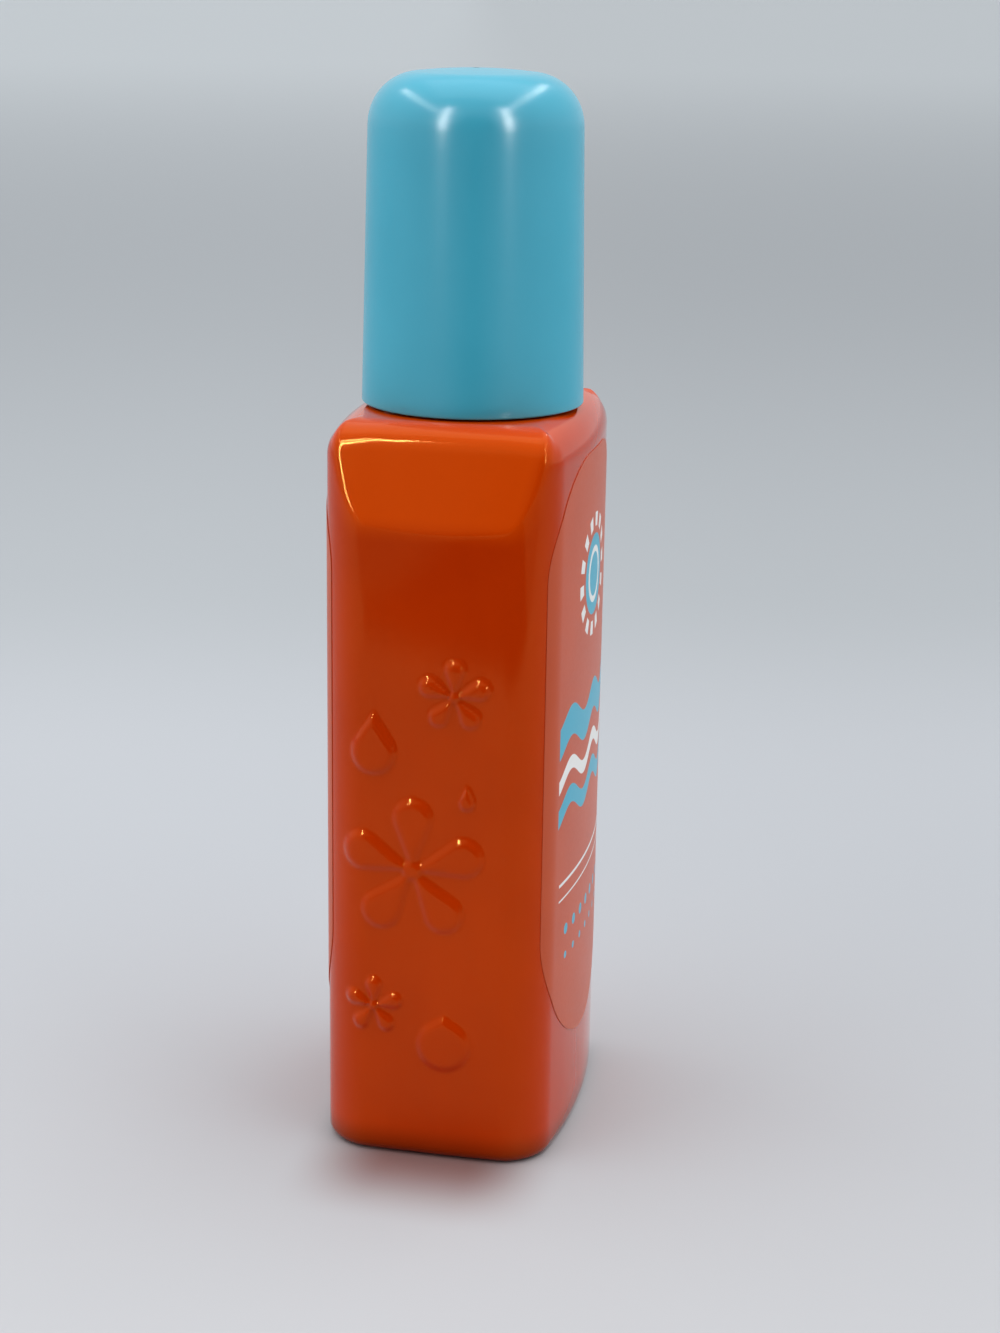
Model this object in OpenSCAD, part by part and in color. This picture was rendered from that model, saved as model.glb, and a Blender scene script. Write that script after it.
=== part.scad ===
// Sunscreen spray bottle: a squared bottle with sloping shoulders and raised flowers,
// a screwed-on fine-mist pump and a tall round overcap that pulls off.
// Millimetres, +Z up, origin at the centre of the base. The label side faces -Y.

/* [Bottle body] */
// Width of the body between its two narrow faces
body_w = 50; // [46:0.5:60]
// Depth of the body between its front and back faces
body_d = 39; // [36:0.5:50]
// Radius that the front and back faces bulge with
front_face_r = 111; // [90:1:200]
// Radius that the two narrow faces bulge with
side_face_r = 289; // [200:1:500]
// Radius of the four upright corners
corner_r = 6; // [4:0.25:8]
// Height of the flat top of the shoulder
shoulder_z = 115.8; // [105:0.2:130]
// Height at which the narrow faces start to lean in
crease_z = 100.5; // [90:0.5:103]
// Width between the two leaning faces where they would meet the top of the shoulder
shoulder_w = 42.4; // [41:0.2:45]
// Rounding between the leaning faces and the top of the shoulder
shoulder_side_r = 4.6; // [3:0.1:5]
// Rounding between the front or back face and the top of the shoulder
shoulder_front_r = 5.5; // [3:0.1:6]
// Wall of the blown bottle
wall = 1.2; // [0.8:0.1:1.8]

/* [Bottle base] */
// Rounding of the edge that the bottle stands on
base_edge_r = 1.8; // [1:0.1:2.5]
// Width of the ring that the bottle stands on, edge rounding included
base_ring = 4.5; // [3.5:0.1:6]
// Depth of the recess under the base
base_recess = 1.2; // [0.6:0.1:2]
// Thickness of the floor above the recess
base_floor = 1.5; // [1:0.1:2.5]

/* [Raised ornament] */
// Height of the raised flowers and drops over the narrow face
relief_h = 0.6; // [0.3:0.05:0.8]
// Reach of a petal of the large flower
large_flower_r = 11.6; // [9:0.1:12.5]
// Reach of a petal of the upper small flower
upper_flower_r = 5.7; // [4:0.1:6.5]
// Reach of a petal of the lower small flower
lower_flower_r = 4.8; // [3.5:0.1:6]
// Number of petals on each flower
petals = 5; // [4:1:7]
// Width of the lower drop
lower_drop_w = 8.7; // [6:0.1:9]
// Height of the lower drop's tip over its middle
lower_drop_tip = 5.1; // [4.8:0.1:9]
// Width of the upper drop
upper_drop_w = 7.3; // [5:0.1:8]
// Height of the upper drop's tip over its middle
upper_drop_tip = 6.3; // [4.4:0.1:8]
// Width of the small drop beside the large flower
small_drop_w = 2.6; // [2:0.1:3.5]
// Height of the small drop's tip over its middle
small_drop_tip = 2.6; // [2:0.1:4]

/* [Labels] */
// Width of each label
label_w = 43.6; // [40:0.2:45]
// Height of the lower edge of each label
label_z = 15; // [10:0.5:25]
// Height of each label from its lower to its upper edge
label_h = 95; // [70:1:96]
// Radius of the label's upper corners; its lower end is a full round
label_corner_r = 17; // [6:0.5:19.5]
// Thickness of the label film
label_t = 0.12; // [0.08:0.01:0.2]

/* [Neck and thread] */
// Height of the neck over the top of the shoulder
neck_h = 15.6; // [15:0.2:18]
// Radius of the neck under its thread
neck_r = 10.8; // [10.6:0.05:10.9]
// Radius of the bore of the neck
neck_bore_r = 9; // [8.6:0.1:9.2]
// Radius of the low ring round the foot of the neck
bead_r = 12.2; // [11.8:0.1:12.6]
// Height of that ring
bead_h = 0.5; // [0.3:0.05:0.6]
// Outer radius of the thread on the neck
thread_r = 11.9; // [11.7:0.05:12]
// Climb of the thread in one turn
thread_pitch = 3.175; // [3:0.005:3.4]
// Turns of thread on the neck
thread_turns = 1.5; // [1.25:0.25:1.75]

/* [Screw collar] */
// Outer radius of the collar over its grip ribs
collar_r = 13.9; // [13.7:0.05:14]
// Thickness of the collar's top, which holds the pump down
collar_top = 1.2; // [1:0.1:1.6]
// Gap between the top of the shoulder and the collar's lower edge
collar_lift = 1.8; // [1.6:0.1:2.4]
// Depth of the grip ribs
grip_depth = 0.35; // [0.2:0.05:0.5]
// Number of grip ribs
grip_count = 48; // [36:2:60]
// Radius of the hole in the collar's top
collar_hole_r = 6.5; // [6.3:0.1:7]

/* [Pump] */
// Thickness of the gasket on the rim of the neck
gasket_t = 1.2; // [0.8:0.1:1.6]
// Radius of the pump's flange and of the gasket under it
flange_r = 10.6; // [10.2:0.1:11]
// Thickness of the pump's flange
flange_t = 1.4; // [1:0.1:2]
// Outer radius of the pump chamber
chamber_r = 4.4; // [4.3:0.05:4.5]
// Radius of the chamber's bore
chamber_bore_r = 3.6; // [3.5:0.05:3.7]
// Length of the chamber below the flange
chamber_l = 28; // [26:0.5:34]
// Length of the tail that holds the dip tube
tail_l = 8; // [7:0.5:12]
// Outer radius of the tail
tail_r = 2.8; // [2.7:0.1:3.2]
// How far the pump head travels when it is pressed
stroke = 4.5; // [3.5:0.1:4.8]
// Radius of the stem
stem_r = 2; // [1.9:0.05:2.1]
// Radius of the channel up the middle of the stem
stem_bore_r = 0.8; // [0.6:0.05:1]
// Length of the piston
piston_l = 5.4; // [4.5:0.1:6]
// Radius of the valve ball
ball_r = 1.6; // [1.4:0.05:1.8]
// How far the valve ball can lift
ball_lift = 0.9; // [0.6:0.1:1.1]
// Radius of the spring's wire
wire_r = 0.35; // [0.25:0.05:0.4]
// Radius to the middle of the spring's wire
coil_r = 2.7; // [2.6:0.05:2.8]
// Turns of the spring
coil_turns = 7; // [6:1:8]

/* [Dip tube] */
// Outer radius of the dip tube
tube_r = 1.9; // [1.7:0.05:2.1]
// Radius of the dip tube's bore
tube_bore_r = 1.3; // [1:0.05:1.5]
// Gap between the dip tube's end and the floor of the bottle
tube_gap = 2.5; // [1.5:0.5:5]

/* [Pump head] */
// Radius of the head at its lower edge
head_r = 8.9; // [8.4:0.1:9.4]
// Height of the head
head_h = 16.4; // [15.5:0.1:17.5]
// How much narrower the head is at its top
head_draft = 0.5; // [0:0.1:0.8]
// Wall of the head's skirt
head_wall = 1.1; // [0.9:0.1:1.3]
// Radius of the sphere that the finger dish is cut with
dish_r = 16; // [14:1:24]
// Depth of the finger dish
dish_depth = 1.3; // [0.6:0.1:1.6]
// Radius of the nozzle insert
nozzle_r = 2.6; // [2.4:0.1:2.8]
// Length of the nozzle insert
nozzle_l = 3.6; // [3:0.1:4]
// Radius of the spray hole
orifice_r = 0.2; // [0.15:0.05:0.3]

/* [Overcap] */
// Radius of the overcap at its rim
cap_r = 17; // [16.8:0.1:17.4]
// Height of the overcap
cap_h = 49.6; // [48:0.2:54]
// How much narrower the overcap is at its top
cap_draft = 0.85; // [0:0.05:1]
// Radius of the overcap's top edge
cap_edge_r = 7.8; // [5:0.1:8.4]
// Rise of the overcap's top at its centre
cap_crown = 0.5; // [0.3:0.05:0.8]
// Wall of the overcap
cap_wall = 1.3; // [1.1:0.1:1.5]
// Number of ribs inside the overcap that grip the collar
cap_ribs = 8; // [6:1:12]
// Thickness of those ribs
cap_rib_t = 1; // [0.8:0.1:1.4]

/* [Clearances] */
// Gap under the overcap's rim
rim_gap = 0.3; // [0.2:0.05:0.6]
// Gap between the overcap's ribs and the collar
grip_gap = 0.1; // [0.05:0.05:0.2]
// Radial gap of a part that slides or turns in another
running_gap = 0.04; // [0.02:0.01:0.08]
// Radial gap of a part that is pressed into another
seat_gap = 0.01; // [0.01:0.005:0.03]
// Gap between the neck's thread and the inside of the collar
thread_gap = 0.25; // [0.2:0.05:0.3]
// Gap between the head at the end of its travel and the collar
travel_gap = 0.5; // [0.3:0.05:0.8]
// Gap between the valve ball and its seat
ball_gap = 0.1; // [0.05:0.05:0.2]

/* [Hidden] */

round_fn = 96;
face_fn = 360;
arc_steps = 10;
// Keeps the flat cuts of the profiles off the bulging faces, which they would only touch
slack = 0.02;
eps = 0.01;

half_w = body_w / 2;
half_d = body_d / 2;
floor_z = base_recess + base_floor;
rim_z = shoulder_z + neck_h;
flange_z = rim_z + gasket_t;
flange_top_z = flange_z + flange_t;
chamber_z = flange_z - chamber_l;
tail_z = chamber_z - tail_l;
tube_stop = 2;
vent_z = flange_z - 6;
vent_r = 0.5;

// Ball valve: the ball rests on a cone that opens upwards
cone_slope = 50;
cone_z = chamber_z;
cone_top_r = ball_r + 0.9;
cone_top_z = cone_z + (cone_top_r - tube_bore_r) * tan(cone_slope);
ball_z = cone_z - tube_bore_r * tan(cone_slope) + (ball_r + ball_gap) / cos(cone_slope);
cage_hole_r = ball_r - 0.4;
cage_drop = sqrt(ball_r * ball_r - cage_hole_r * cage_hole_r);
seat_z = ball_z + cage_drop + ball_lift + ball_gap;
seat_l = 2;

// Spring, piston and stem
spring_z = seat_z + seat_l;
seal_t = 1.4;
guide_plug_l = 3;
guide_rise = 3.2;
guide_r = collar_hole_r - 0.4;
guide_top_z = flange_top_z + guide_rise;
seal_z = flange_top_z - guide_plug_l - seal_t;
stem_shoulder_t = 1.5;
stem_shoulder_r = chamber_bore_r - 0.4;
stem_shoulder_z = seal_z - stem_shoulder_t;
piston_z = stem_shoulder_z - piston_l;
piston_waist = 0.4;
foot_r = stem_r - 0.35;
foot_floor = 0.8;
foot_z = piston_z - 1;
port_r = 0.4;
wire_sides = 6;
coil_steps = 16;
closed_turn = 2 * wire_r + 0.15;
coil_length = piston_z - spring_z - 2 * wire_r;

collar_top_z = flange_top_z + collar_top;
collar_z = shoulder_z + collar_lift;
collar_bore_r = thread_r + thread_gap;
grip_margin = 1.5;
grip_l = collar_top_z - collar_z - 2 * grip_margin;

head_z = collar_top_z + stroke + travel_gap;
head_top_z = head_z + head_h;
head_edge_r = 1.2;
head_top_t = 3.2;
nozzle_z = head_top_z - dish_depth - head_top_t - nozzle_r;
nozzle_recess = 0.6;
nozzle_seat_y = head_r - head_draft - nozzle_recess - nozzle_l;
nozzle_rim = 0.6;
channel_r = 1;
swirl_web = 0.9;
spray_cone_l = 0.5;
spray_cone_r = 0.9;
stem_top_z = nozzle_z - channel_r;
socket_r = stem_r + 1.6;
socket_z = guide_top_z + stroke + travel_gap;
head_room = nozzle_z - nozzle_r - 1.6 - head_z;
tube_slant = 35;

cap_z = shoulder_z + rim_gap;
rib_lead = 0.5;
rib_l = 14;

recess_corner_r = 2.5;
inner_edge_r = 1;
petal_width = 0.56;
flower_core = 0.14;
side_bite = 0.99;
relief_root = 0.6;
// Middles of the flowers and drops, as [across, up] on the narrow face
large_flower_at = [3, 48];
upper_flower_at = [-3.3, 76];
lower_flower_at = [9.1, 25.1];
upper_drop_at = [9.2, 66.4];
lower_drop_at = [-2.1, 19.4];
small_drop_at = [-5.4, 59.5];
thread_steps = 36;
thread_fade = 5;
thread_root = 0.3;
thread_half_root = 0.95;
thread_half_crest = 0.4;
collar_half_root = 0.75;
collar_half_crest = 0.3;
neck_thread_z = rim_z - 2 - thread_pitch * thread_turns;
collar_thread_turns = 1.5;
collar_thread_z = neck_thread_z - thread_pitch / 2;

// Colours as the photo shows them
orange = [0.86, 0.30, 0.05];
label_orange = [0.90, 0.40, 0.24];
aqua = [0.45, 0.76, 0.82];
pump_white = [0.94, 0.94, 0.93];
clear_grey = [0.82, 0.84, 0.85];
steel = [0.70, 0.71, 0.72];

function unit(v) = v / norm(v);

// Points along the rounding, of radius r, of the corner p between a and b
function rounded(a, p, b, r) =
    let (
        u = unit(a - p),
        v = unit(b - p),
        half = acos(u * v) / 2,
        centre = p + unit(u + v) * r / sin(half),
        first = p + u * r / tan(half) - centre,
        last = p + v * r / tan(half) - centre,
        start = atan2(first[1], first[0]),
        turn = (atan2(last[1], last[0]) - start + 540) % 360 - 180
    )
    [
        for (i = [0:arc_steps])
            let (angle = start + turn * i / arc_steps)
            centre + r * [cos(angle), sin(angle)]
    ];

// Centre of the rounding of the corner at +X +Y, which touches both bulging faces from inside
front_centre = [0, half_d - front_face_r];
side_centre = [half_w - side_face_r, 0];
centre_gap = norm(side_centre - front_centre);
centre_dir = unit(side_centre - front_centre);
front_reach = front_face_r - corner_r;
side_reach = side_face_r - corner_r;
corner_along = (pow(front_reach, 2) - pow(side_reach, 2) + pow(centre_gap, 2)) / (2 * centre_gap);
corner_across = sqrt(pow(front_reach, 2) - pow(corner_along, 2));
corner_centre = front_centre + centre_dir * corner_along + corner_across * [centre_dir[1], -centre_dir[0]];

// Upright column of the body's outline, with its walls drawn in by inset
module column(bottom, top, inset) {
    front_touch = front_centre + unit(corner_centre - front_centre) * (front_face_r - inset);
    side_touch = side_centre + unit(corner_centre - side_centre) * (side_face_r - inset);
    chord = side_touch - front_touch;
    edge_x = half_w - inset + slack;
    edge_y = half_d - inset + slack;
    cut_x = front_touch[0] + chord[0] * (edge_y - front_touch[1]) / chord[1];
    cut_y = side_touch[1] + chord[1] * (edge_x - side_touch[0]) / chord[0];
    translate([0, 0, bottom]) {
        intersection() {
            linear_extrude(top - bottom)
                polygon([
                    [edge_x, cut_y], [cut_x, edge_y], [-cut_x, edge_y], [-edge_x, cut_y],
                    [-edge_x, -cut_y], [-cut_x, -edge_y], [cut_x, -edge_y], [edge_x, -cut_y]
                ]);
            translate([0, front_centre[1], 0])
                cylinder(h = top - bottom, r = front_face_r - inset, $fn = face_fn);
            translate([0, -front_centre[1], 0])
                cylinder(h = top - bottom, r = front_face_r - inset, $fn = face_fn);
            translate([side_centre[0], 0, 0])
                cylinder(h = top - bottom, r = side_face_r - inset, $fn = face_fn);
            translate([-side_centre[0], 0, 0])
                cylinder(h = top - bottom, r = side_face_r - inset, $fn = face_fn);
        }
        for (x = [-1, 1], y = [-1, 1])
            translate([x * corner_centre[0], y * corner_centre[1], 0])
                cylinder(h = top - bottom, r = corner_r - inset, $fn = round_fn);
    }
}

// Outline of the body seen from the front or the side: half_low at the base and half_high
// at the shoulder, where top_r rounds it
module profile(half_low, half_high, bottom, top, base_r, top_r) {
    right = concat(
        rounded([0, bottom], [half_low, bottom], [half_low, crease_z], base_r),
        [[half_low, crease_z]],
        rounded([half_low, crease_z], [half_high, top], [0, top], top_r)
    );
    left = [for (i = [len(right) - 1:-1:0]) [-right[i][0], right[i][1]]];
    polygon(concat(right, left));
}

// The body as a solid from bottom to top, with its walls drawn in by inset
module body_shape(bottom, top, inset) {
    base_r = max(base_edge_r - inset, inner_edge_r);
    wide = half_w - inset + slack;
    deep = half_d - inset + slack;
    intersection() {
        column(bottom, top, inset);
        rotate([90, 0, 0])
            linear_extrude(2 * body_d, center = true)
                profile(wide, shoulder_w / 2 - inset, bottom - slack, top + slack, base_r,
                    shoulder_side_r - inset);
        rotate([90, 0, 90])
            linear_extrude(2 * body_w, center = true)
                profile(deep, deep - slack, bottom - slack, top + slack, base_r,
                    shoulder_front_r - inset);
    }
}

module rounded_rect(width, height, r) {
    square([width - 2 * r, height], center = true);
    square([width, height - 2 * r], center = true);
    for (x = [-1, 1], y = [-1, 1])
        translate([x * (width / 2 - r), y * (height / 2 - r)])
            circle(r, $fn = round_fn);
}

// Outline of a label from its lowest point up, with a full round below
module label_outline() {
    low_r = label_w / 2;
    translate([0, low_r])
        circle(low_r, $fn = 2 * round_fn);
    translate([-low_r, low_r])
        square([label_w, label_h - low_r - label_corner_r]);
    translate([label_corner_r - low_r, low_r])
        square([label_w - 2 * label_corner_r, label_h - low_r]);
    for (x = [-1, 1])
        translate([x * (low_r - label_corner_r), label_h - label_corner_r])
            circle(label_corner_r, $fn = round_fn);
}

// A round drop centred on the origin, with its tip up at the given reach. Its straight sides
// end just inside the round, so that both meet at a clear edge
module teardrop(width, reach) {
    touch = asin(width / 2 / reach);
    side = side_bite * width / 2 * [cos(touch), sin(touch)];
    circle(d = width, $fn = round_fn / 2);
    polygon([[0, reach], [-side[0], side[1]], [0, 0], side]);
}

// A flower of club-shaped petals that narrow to the middle
module flower(reach) {
    width = petal_width * reach;
    circle(flower_core * reach, $fn = round_fn / 2);
    for (i = [0:petals - 1])
        rotate(i * 360 / petals)
            translate([0, reach - width / 2])
                rotate(180)
                    teardrop(width, reach - width / 2);
}

// A given outline, raised over the narrow face at -X
module raised() {
    intersection() {
        translate([-side_centre[0], 0, 0])
            cylinder(h = crease_z, r = side_face_r + relief_h, $fn = face_fn);
        translate([-half_w - 2 * relief_h, 0, 0])
            rotate([90, 0, 90])
                linear_extrude(relief_root + 2 * relief_h)
                    children();
    }
}

// Raised flowers and drops on the narrow face at -X
module relief() {
    raised() translate(large_flower_at) flower(large_flower_r);
    raised() translate(upper_flower_at) flower(upper_flower_r);
    raised() translate(lower_flower_at) flower(lower_flower_r);
    raised() translate(upper_drop_at) teardrop(upper_drop_w, upper_drop_tip);
    raised() translate(lower_drop_at) teardrop(lower_drop_w, lower_drop_tip);
    raised() translate(small_drop_at) teardrop(small_drop_w, small_drop_tip);
}

// A helical ridge from radius base_at to tip_at, running up from z and fading at both ends
module thread(base_at, tip_at, half_base, half_tip, z, turns) {
    count = ceil(turns * thread_steps);
    rings = [
        for (i = [0:count])
            let (
                angle = 360 * turns * i / count,
                fade = min(1, (i + 1) / thread_fade, (count - i + 1) / thread_fade),
                tip = base_at + (tip_at - base_at) * fade,
                up = z + thread_pitch * turns * i / count
            )
            each [
                [base_at * cos(angle), base_at * sin(angle), up - half_base],
                [tip * cos(angle), tip * sin(angle), up - half_tip],
                [tip * cos(angle), tip * sin(angle), up + half_tip],
                [base_at * cos(angle), base_at * sin(angle), up + half_base]
            ]
    ];
    swept_tube(rings, 4, tip_at > base_at);
}

// Solid through rings of the same number of sides; flip turns its faces over
module swept_tube(points, sides, flip) {
    last = len(points) / sides - 1;
    walls = [
        for (i = [0:last - 1], j = [0:sides - 1])
            let (a = i * sides + j, b = i * sides + (j + 1) % sides)
            each [[a, a + sides, b], [b, a + sides, b + sides]]
    ];
    ends = [
        for (j = [1:sides - 2])
            each [[0, j, j + 1], [last * sides, last * sides + j + 1, last * sides + j]]
    ];
    faces = concat(walls, ends);
    polyhedron(points, [for (f = faces) flip ? [f[2], f[1], f[0]] : f], convexity = 6);
}

// Blown bottle: one wall all round, a flat standing ring, and the neck with its thread
module bottle_body() {
    color(orange)
        difference() {
            union() {
                body_shape(0, shoulder_z, 0);
                relief();
                mirror([1, 0, 0]) relief();
                translate([0, 0, shoulder_z - wall])
                    cylinder(h = neck_h + wall, r = neck_r, $fn = round_fn);
                translate([0, 0, shoulder_z - wall])
                    cylinder(h = bead_h + wall, r = bead_r, $fn = round_fn);
                thread(neck_r - thread_root, thread_r, thread_half_root, thread_half_crest,
                    neck_thread_z, thread_turns);
            }
            body_shape(floor_z, shoulder_z - wall, wall);
            translate([0, 0, shoulder_z - 2 * wall])
                cylinder(h = neck_h + 3 * wall, r = neck_bore_r, $fn = round_fn);
            translate([0, 0, -base_recess])
                linear_extrude(2 * base_recess)
                    rounded_rect(body_w - 2 * base_ring, body_d - 2 * base_ring, recess_corner_r);
        }
}

// Film label on the face at -Y, wrapped onto the upright corners
module label() {
    intersection() {
        difference() {
            column(label_z, label_z + label_h, -label_t);
            column(label_z - 1, label_z + label_h + 1, 0);
        }
        translate([0, 0, label_z])
            rotate([90, 0, 0])
                linear_extrude(body_d)
                    label_outline();
    }
}

module front_label() {
    color(label_orange) label();
}

module back_label() {
    color(label_orange) mirror([0, 1, 0]) label();
}

// Ring of soft plastic that seals the rim of the neck
module neck_gasket() {
    color(clear_grey)
        difference() {
            translate([0, 0, rim_z])
                cylinder(h = gasket_t, r = flange_r, $fn = round_fn);
            translate([0, 0, rim_z - 1])
                cylinder(h = gasket_t + 2, r = chamber_r + seat_gap, $fn = round_fn);
        }
}

// Flange that rests on the gasket, bored chamber with a cone seat for the ball, and the
// tail that the dip tube is pressed into
module pump_housing() {
    color(pump_white)
        difference() {
            union() {
                translate([0, 0, flange_z])
                    cylinder(h = flange_t, r = flange_r, $fn = round_fn);
                translate([0, 0, chamber_z])
                    cylinder(h = chamber_l + flange_t, r = chamber_r, $fn = round_fn);
                translate([0, 0, tail_z])
                    cylinder(h = tail_l + tube_stop, r = tail_r, $fn = round_fn);
            }
            translate([0, 0, cone_top_z])
                cylinder(h = chamber_l + flange_t, r = chamber_bore_r, $fn = round_fn);
            translate([0, 0, cone_z])
                cylinder(h = cone_top_z - cone_z, r1 = tube_bore_r, r2 = cone_top_r, $fn = round_fn);
            translate([0, 0, tail_z - 1])
                cylinder(h = cone_z - tail_z + 1 + eps, r = tube_bore_r, $fn = round_fn);
            translate([0, 0, tail_z - 1])
                cylinder(h = tail_l + 1 - tube_stop, r = tube_r + seat_gap, $fn = round_fn);
            translate([0, 0, vent_z])
                rotate([0, 90, 0])
                    cylinder(h = 2 * chamber_r, r = vent_r, $fn = round_fn / 4);
        }
}

// Plug in the top of the chamber that guides the stem
module stem_guide() {
    color(pump_white)
        difference() {
            union() {
                translate([0, 0, flange_top_z])
                    cylinder(h = guide_rise, r = guide_r, $fn = round_fn);
                translate([0, 0, flange_top_z - guide_plug_l])
                    cylinder(h = guide_plug_l + eps, r = chamber_bore_r - seat_gap, $fn = round_fn);
            }
            translate([0, 0, flange_top_z - guide_plug_l - 1])
                cylinder(h = guide_plug_l + guide_rise + 2, r = stem_r + running_gap, $fn = round_fn);
        }
}

// Soft ring under the guide that seals the stem
module stem_seal() {
    color(clear_grey)
        difference() {
            translate([0, 0, seal_z])
                cylinder(h = seal_t, r = chamber_bore_r - seat_gap, $fn = round_fn);
            translate([0, 0, seal_z - 1])
                cylinder(h = seal_t + 2, r = stem_r + running_gap, $fn = round_fn);
        }
}

// Hollow stem with the shoulder that pushes the piston, a closed foot and two side ports
module pump_stem() {
    color(pump_white)
        difference() {
            union() {
                translate([0, 0, stem_shoulder_z])
                    cylinder(h = stem_top_z - stem_shoulder_z, r = stem_r, $fn = round_fn);
                translate([0, 0, stem_shoulder_z])
                    cylinder(h = stem_shoulder_t, r = stem_shoulder_r, $fn = round_fn);
                translate([0, 0, foot_z])
                    cylinder(h = stem_shoulder_z - foot_z + eps, r = foot_r, $fn = round_fn);
            }
            translate([0, 0, foot_z + foot_floor])
                cylinder(h = stem_top_z, r = stem_bore_r, $fn = round_fn / 2);
            translate([0, 0, foot_z + foot_floor + port_r])
                rotate([0, 90, 0])
                    cylinder(h = 3 * foot_r, r = port_r, center = true, $fn = round_fn / 4);
        }
}

// Piston with a wiping lip at each end
module piston_seal() {
    lip = piston_l / 4;
    outer = chamber_bore_r - running_gap;
    color(clear_grey)
        difference() {
            union() {
                translate([0, 0, piston_z])
                    cylinder(h = piston_l, r = outer - piston_waist, $fn = round_fn);
                translate([0, 0, piston_z])
                    cylinder(h = lip, r = outer, $fn = round_fn);
                translate([0, 0, piston_z + piston_l - lip])
                    cylinder(h = lip, r = outer, $fn = round_fn);
            }
            translate([0, 0, piston_z - 1])
                cylinder(h = piston_l + 2, r = foot_r + running_gap, $fn = round_fn);
        }
}

// Height of the middle of the wire after the given turns, with a closed turn at each end
function coil_rise(turn) =
    turn < 1 ? closed_turn * turn
    : turn > coil_turns - 1 ? coil_length - closed_turn * (coil_turns - turn)
    : closed_turn + (coil_length - 2 * closed_turn) * (turn - 1) / (coil_turns - 2);

// Steel spring that pushes the piston up
module return_spring() {
    rings = [
        for (i = [0:coil_turns * coil_steps])
            let (
                turn = i / coil_steps,
                z = spring_z + wire_r + coil_rise(turn)
            )
            for (j = [0:wire_sides - 1])
                let (
                    around = 360 * j / wire_sides,
                    r = coil_r + wire_r * cos(around)
                )
                [r * cos(360 * turn), r * sin(360 * turn), z + wire_r * sin(around)]
    ];
    color(steel) swept_tube(rings, wire_sides, true);
}

// Cup that carries the spring and keeps the ball in its cage
module spring_seat() {
    color(pump_white)
        difference() {
            translate([0, 0, seat_z])
                cylinder(h = seat_l, r = chamber_bore_r - seat_gap, $fn = round_fn);
            translate([0, 0, seat_z - 1])
                cylinder(h = seat_l + 2, r = cage_hole_r, $fn = round_fn);
        }
}

module inlet_ball() {
    color(steel)
        translate([0, 0, ball_z])
            sphere(ball_r, $fn = round_fn / 2);
}

// Tube that reaches down to the floor of the bottle, its end cut at a slant
module dip_tube() {
    top = tail_z + tail_l - tube_stop;
    bottom = floor_z + tube_gap;
    color(clear_grey)
        difference() {
            translate([0, 0, bottom])
                cylinder(h = top - bottom, r = tube_r, $fn = round_fn);
            translate([0, 0, bottom - 1])
                cylinder(h = top - bottom + 2, r = tube_bore_r, $fn = round_fn);
            translate([0, 0, bottom])
                rotate([0, tube_slant, 0])
                    translate([-2 * tube_r, -2 * tube_r, -4 * tube_r])
                        cube([8 * tube_r, 4 * tube_r, 4 * tube_r]);
        }
}

// Threaded collar that holds the pump's flange down on the neck
module screw_collar() {
    color(pump_white)
        difference() {
            union() {
                difference() {
                    translate([0, 0, collar_z])
                        cylinder(h = collar_top_z - collar_z, r = collar_r, $fn = round_fn);
                    translate([0, 0, collar_z - 1])
                        cylinder(h = flange_top_z - collar_z + 1, r = collar_bore_r, $fn = round_fn);
                    for (i = [0:grip_count - 1])
                        rotate(i * 360 / grip_count)
                            translate([collar_r, 0, collar_z + grip_margin])
                                cylinder(h = grip_l, r = grip_depth, $fn = round_fn / 4);
                }
                thread(collar_bore_r + thread_root, neck_r + thread_gap, collar_half_root, collar_half_crest,
                    collar_thread_z, collar_thread_turns);
            }
            translate([0, 0, flange_top_z - 1])
                cylinder(h = collar_top + 2, r = collar_hole_r, $fn = round_fn);
        }
}

// Head that is pressed with a finger: a skirt, a socket for the stem and the nozzle's seat
module actuator_button() {
    color(pump_white)
        difference() {
            translate([0, 0, head_z])
                rotate_extrude($fn = round_fn)
                    polygon(concat(
                        [[0, 0], [head_r, 0]],
                        rounded([head_r, 0], [head_r - head_draft, head_h], [0, head_h], head_edge_r),
                        [[0, head_h]]
                    ));
            translate([0, 0, head_z - 1])
                difference() {
                    cylinder(h = head_room + 1, r = head_r - head_draft - head_wall, $fn = round_fn);
                    cylinder(h = head_room + 2, r = socket_r, $fn = round_fn);
                }
            translate([0, 0, head_z - 1])
                cylinder(h = socket_z - head_z + 1, r = socket_r + 1, $fn = round_fn);
            translate([0, 0, head_z])
                cylinder(h = stem_top_z - head_z, r = stem_r + seat_gap, $fn = round_fn);
            translate([0, 0, head_z])
                cylinder(h = nozzle_z - head_z, r = stem_bore_r, $fn = round_fn / 2);
            translate([0, 0, head_top_z - dish_depth + dish_r])
                sphere(dish_r, $fn = face_fn / 2);
            translate([0, 0, nozzle_z])
                rotate([90, 0, 0]) {
                    cylinder(h = head_r, r = channel_r, $fn = round_fn / 2);
                    translate([0, 0, nozzle_seat_y])
                        cylinder(h = head_r, r = nozzle_r + seat_gap, $fn = round_fn);
                    translate([0, 0, nozzle_seat_y + nozzle_l])
                        cylinder(h = head_r, r = nozzle_r + nozzle_rim, $fn = round_fn);
                }
        }
}

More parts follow.
